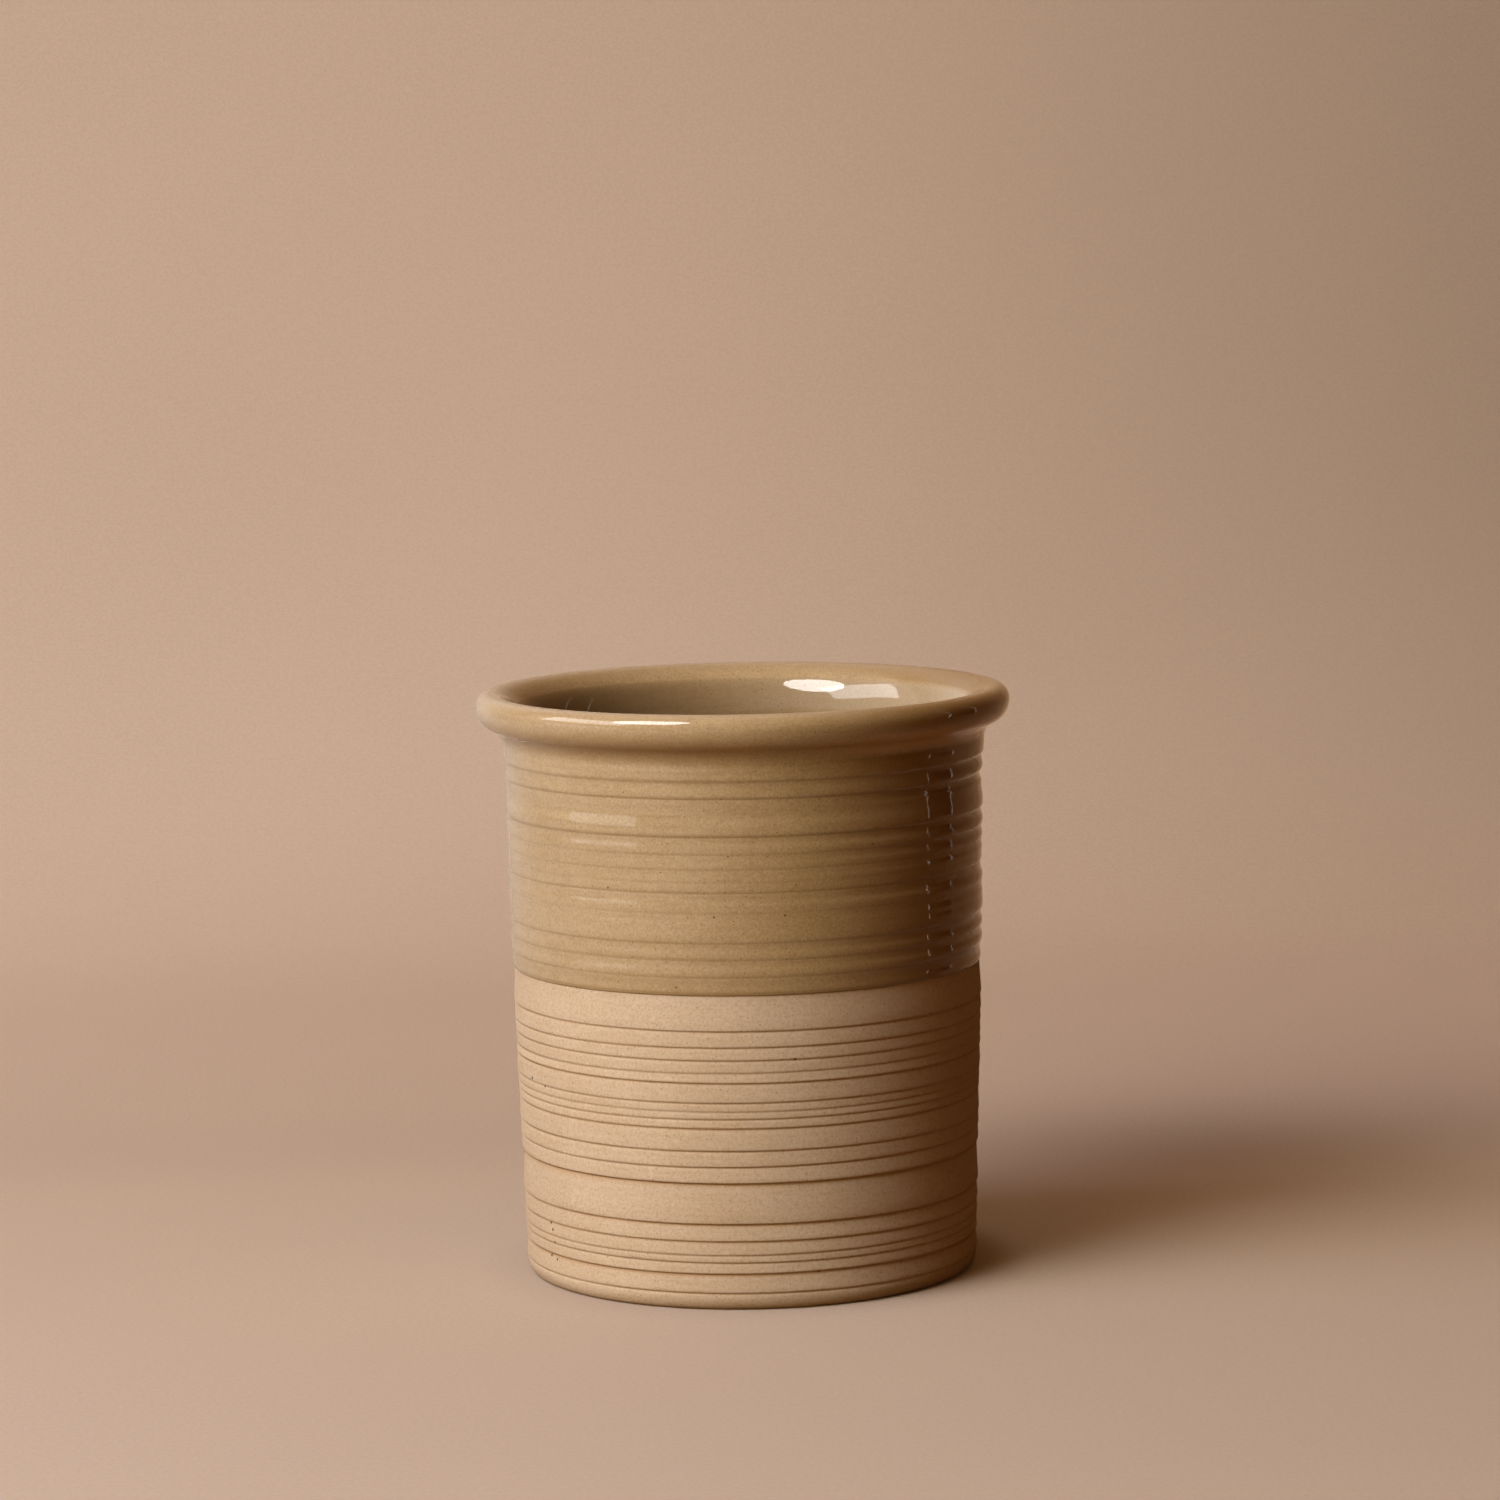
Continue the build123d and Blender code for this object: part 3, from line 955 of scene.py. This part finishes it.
def toward(azimuth, elevation, distance):
    """A place seen from the crock. The azimuth runs from the camera's side to the left."""
    a, e = math.radians(azimuth), math.radians(elevation)
    return Vector((-math.sin(a) * math.cos(e), -math.cos(a) * math.cos(e), math.sin(e))) * distance


LIGHTS_MEET = Vector((0, 0, 0.1))


def soft_light(name, place, size, power, colour, shape="RECTANGLE"):
    """A light of this size that looks at the crock from its place."""
    data = bpy.data.lights.new(name, "AREA")
    data.shape = shape
    data.size, data.size_y = size
    data.energy = power
    data.color = colour
    light = bpy.data.objects.new(name, data)
    light.location = place + LIGHTS_MEET
    light.rotation_euler = (-place).to_track_quat("-Z", "Y").to_euler()
    bpy.context.scene.collection.objects.link(light)
    return light


CARD_HEIGHT = 0.7


def upright_card(name, azimuth, width, colour, glow):
    """A tall narrow card that only reflections see, standing to the right and behind: a painted reflection
    in the glaze.
    """
    middle = toward(azimuth, 0, 1.0)
    across = Vector((-middle.y, middle.x, 0)) * width / 2
    corners = ((-1, 0), (1, 0), (1, CARD_HEIGHT), (-1, CARD_HEIGHT))
    points = [tuple(middle + across * side + Vector((0, 0, z))) for side, z in corners]
    look = {"Base_Color": colour, "Emission_Color": colour, "Emission_Strength": glow, "Roughness": 1.0}
    card = stage_piece(name, points, [(0, 1, 2, 3)], Material(name).finish(**look))
    card.visible_camera = card.visible_diffuse = card.visible_shadow = False


# the dark card and its glowing strips, painted reflections in the glaze
FLAG = (0.01, 0.008, 0.006, 1)
GLOWING_STRIP = (1.0, 0.9, 0.8, 1)
WHITE = (1.0, 1.0, 1.0)
WARM_WHITE = (1.03, 1.0, 0.91)
COOL_WHITE = (0.98, 1.01, 1.24)
CREAM = (1.0, 1.0, 0.97)
HONEY = (1.0, 0.74, 0.20)
ORANGE = (1.0, 0.5, 0.1)
SOFT_LIGHTS = (  # name, place, size, power, colour and shape of what lights the scene
    ("round_soft", toward(46, 37, 1.6), (1.04, 1.04), 12.5, WARM_WHITE, "DISK"),
    ("side_soft", toward(59, 36, 1.6), (1.20, 0.64), 12.9, COOL_WHITE),
    ("low_soft", toward(43, 18, 1.8), (1.40, 0.70), 9.2, HONEY),
    ("top_soft", toward(0, 88, 1.6), (1.40, 1.40), 4.0, ORANGE),
)
GLINTS = (  # the same, of what only stands in the glaze
    ("round_glint", toward(50, 50, 1.6), (0.76, 0.76), 19.5, CREAM, "DISK"),
    ("side_glint", toward(77, 36, 1.6), (1.20, 0.62), 12.0, WHITE),
    ("low_glint", toward(71, 3, 1.6), (1.10, 0.30), 1.9, WHITE),
)

sweep()
for light in SOFT_LIGHTS:
    soft_light(*light).visible_glossy = False
for light in GLINTS:
    soft_light(*light).visible_diffuse = False
# Painted reflections: a dark card, and two glowing strips at its edges, that only the glaze reflects
upright_card("dark_flag", -105.5, 0.33, FLAG, 0.0)
upright_card("glowing_strip_near", -96, 0.009, GLOWING_STRIP, 1.7)
upright_card("glowing_strip_far", -115, 0.007, GLOWING_STRIP, 1.4)

# The room: a weak warm fill, seen by the camera and the glaze as bright on the left and dark on the right
ROOM_FILL = (0.066, 0.023, 0.004, 1)
ROOM_LEFT = (1.10, 1.04, 0.96, 1)
ROOM_RIGHT = (0.05, 0.035, 0.02, 1)
ROOM_ACROSS = (-0.9, 0.6)
world = bpy.data.worlds.new("studio_fill")
world.use_nodes = True
room = Nodes(world.node_tree, "Generated")
rays = room.add("ShaderNodeLightPath").outputs
seen = room.math("MAXIMUM", rays["Is Camera Ray"], rays["Is Glossy Ray"])
sight = room.mix(room.ramp(room.apart()["X"], *ROOM_ACROSS), ROOM_LEFT, ROOM_RIGHT)
room.feed(world.node_tree.nodes["Background"].inputs["Color"], room.mix(seen, ROOM_FILL, sight))
bpy.context.scene.world = world

# The camera, as the photograph was taken: its place, and its turn, tilt and roll in degrees
CAMERA_PLACE = (0.0, -1.40426, 0.30618)
CAMERA_TURN = -0.0777
CAMERA_TILT = 90 - 6.4745
CAMERA_ROLL = -1.0231
camera_data = bpy.data.cameras.new("camera")
camera_data.sensor_width = 36.0
camera_data.lens = 120.18
camera_data.clip_end = 50.0
camera = bpy.data.objects.new("camera", camera_data)
camera.location = CAMERA_PLACE
turn = Matrix.Rotation(math.radians(CAMERA_TURN), 3, "Z")
tilt = Matrix.Rotation(math.radians(CAMERA_TILT), 3, "X")
roll = Matrix.Rotation(math.radians(CAMERA_ROLL), 3, "Z")
camera.rotation_euler = (turn @ tilt @ roll).to_euler()
bpy.context.scene.collection.objects.link(camera)
bpy.context.scene.camera = camera
bpy.context.scene.view_settings.view_transform = "Standard"
